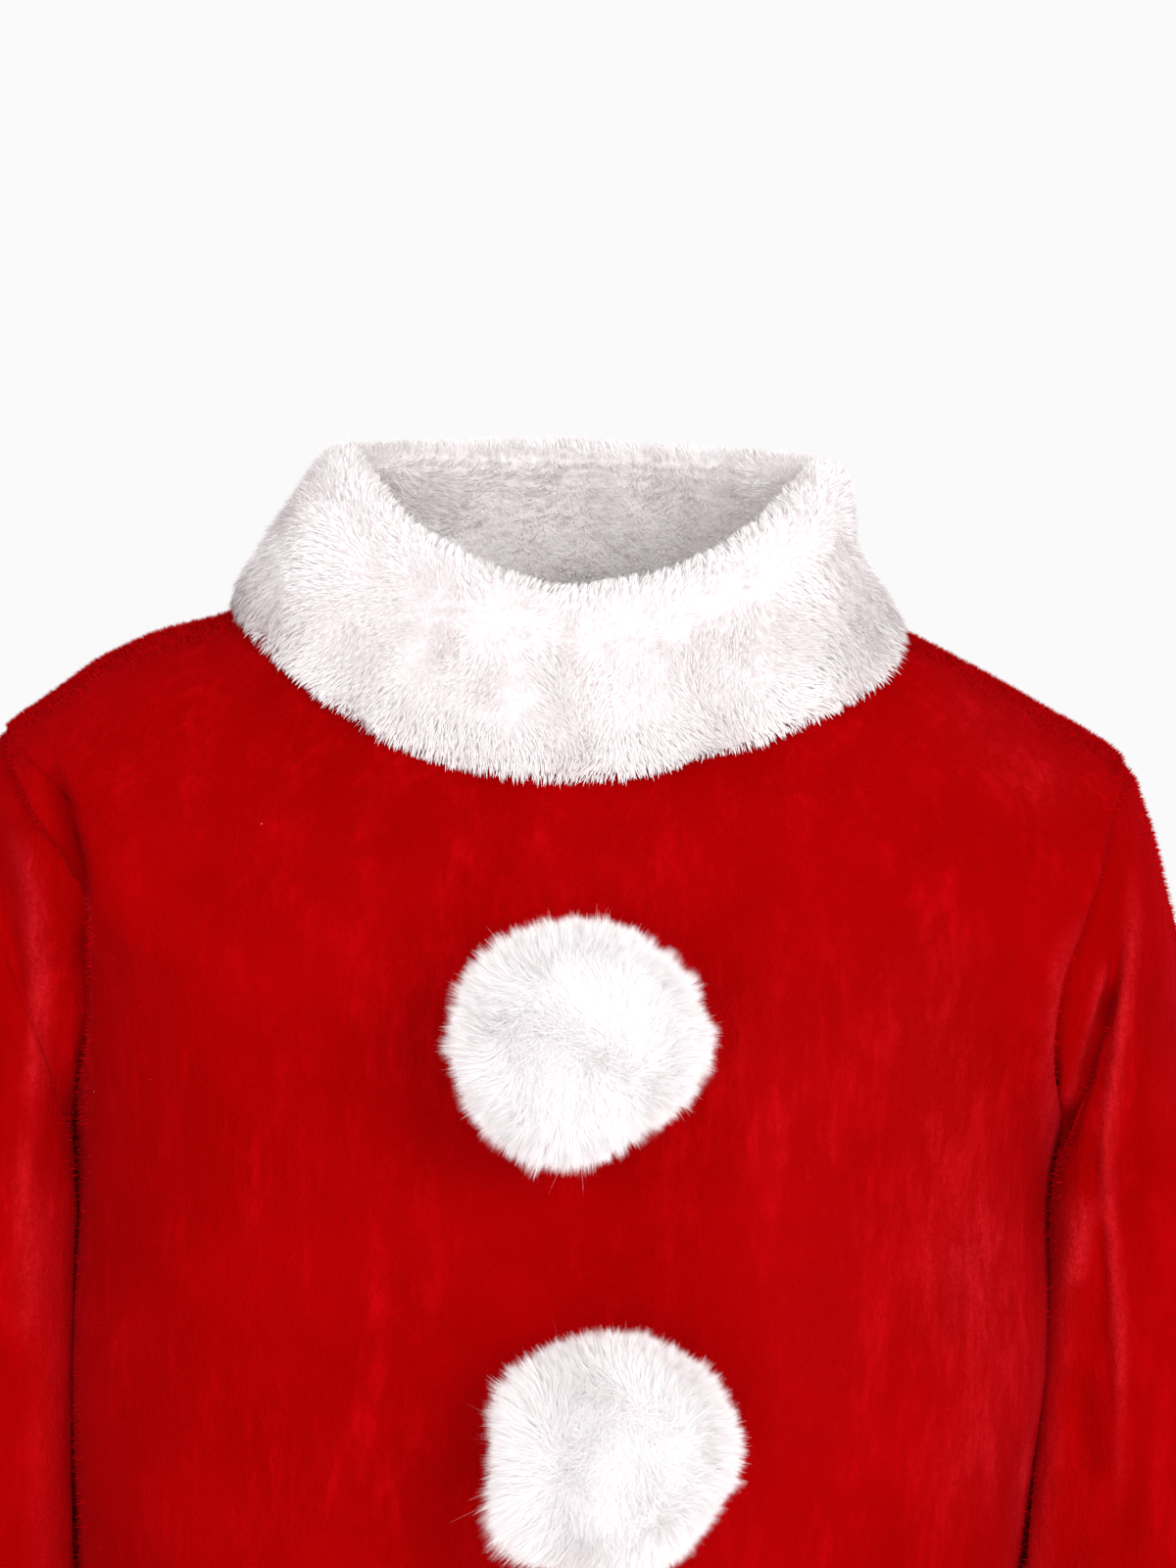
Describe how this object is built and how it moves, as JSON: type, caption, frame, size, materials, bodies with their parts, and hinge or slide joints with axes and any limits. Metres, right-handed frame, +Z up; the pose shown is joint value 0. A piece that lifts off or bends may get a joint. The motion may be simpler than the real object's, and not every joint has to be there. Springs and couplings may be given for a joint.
{
  "type": "elf costume tunic",
  "caption": "Child's long-sleeved velvet costume tunic with a plush funnel collar and fur pompoms, in its worn shape.",
  "frame": {"origin": "middle of the neck opening, level with the points where the shoulder seams meet the collar, where the wearer's neck and shoulders hold the tunic", "axes": "+Z up, +X towards the wearer's left, +Y towards the wearer's back"},
  "size_m": [0.402, 0.245, 0.5491],
  "materials": {
    "velvet": "short dense velvet pile with a soft sheen",
    "plush": "white plush with a short clumped pile",
    "fur": "fine fluffy white fur"
  },
  "bodies": {
    "root": {"front": "velvet", "back": "velvet", "sleeve_left": "velvet", "sleeve_right": "velvet", "collar": "plush", "pom_upper": "fur", "pom_lower": "fur"}
  },
  "joints": []
}
